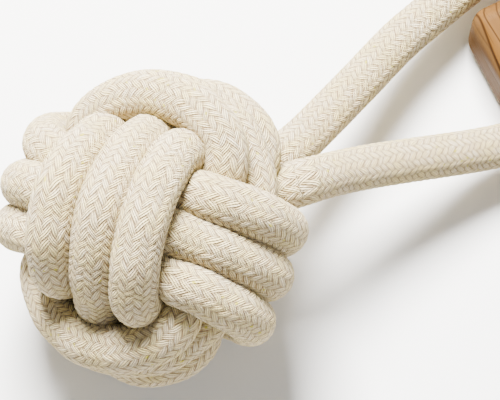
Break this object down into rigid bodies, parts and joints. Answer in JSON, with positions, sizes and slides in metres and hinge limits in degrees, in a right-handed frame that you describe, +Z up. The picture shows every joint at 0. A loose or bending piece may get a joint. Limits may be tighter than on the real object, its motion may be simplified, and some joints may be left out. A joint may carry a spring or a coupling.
{
  "type": "rope grab handle",
  "caption": "Monkey's fist knot of braided cotton rope, wound over a core ball, with its legs looped through the cross hole of a wooden grip rail.",
  "frame": {"origin": "middle of the grip rail's underside, on the surface that the handle lies on", "axes": "+Z up, +Y along the rail towards its short end, +X across the rail, away from the knot"},
  "size_m": [0.2186, 0.17, 0.087],
  "materials": {
    "cotton_rope": "braided natural cotton, matt",
    "core_wood": "bare, hidden inside the knot",
    "oiled_wood": "oiled, satin"
  },
  "bodies": {
    "fist": {"first_wrap": "cotton_rope", "second_wrap": "cotton_rope", "third_wrap": "cotton_rope", "core_ball": "core_wood", "rope_loop": "cotton_rope"},
    "rail": {"grip_rail": "oiled_wood"}
  },
  "joints": [
    {"name": "rail_turn", "type": "hinge", "parent": "fist", "child": "rail", "pos_m": [0, 0.037, 0.012], "axis": [1, 0, 0], "range_deg": [-140, 140]}
  ]
}
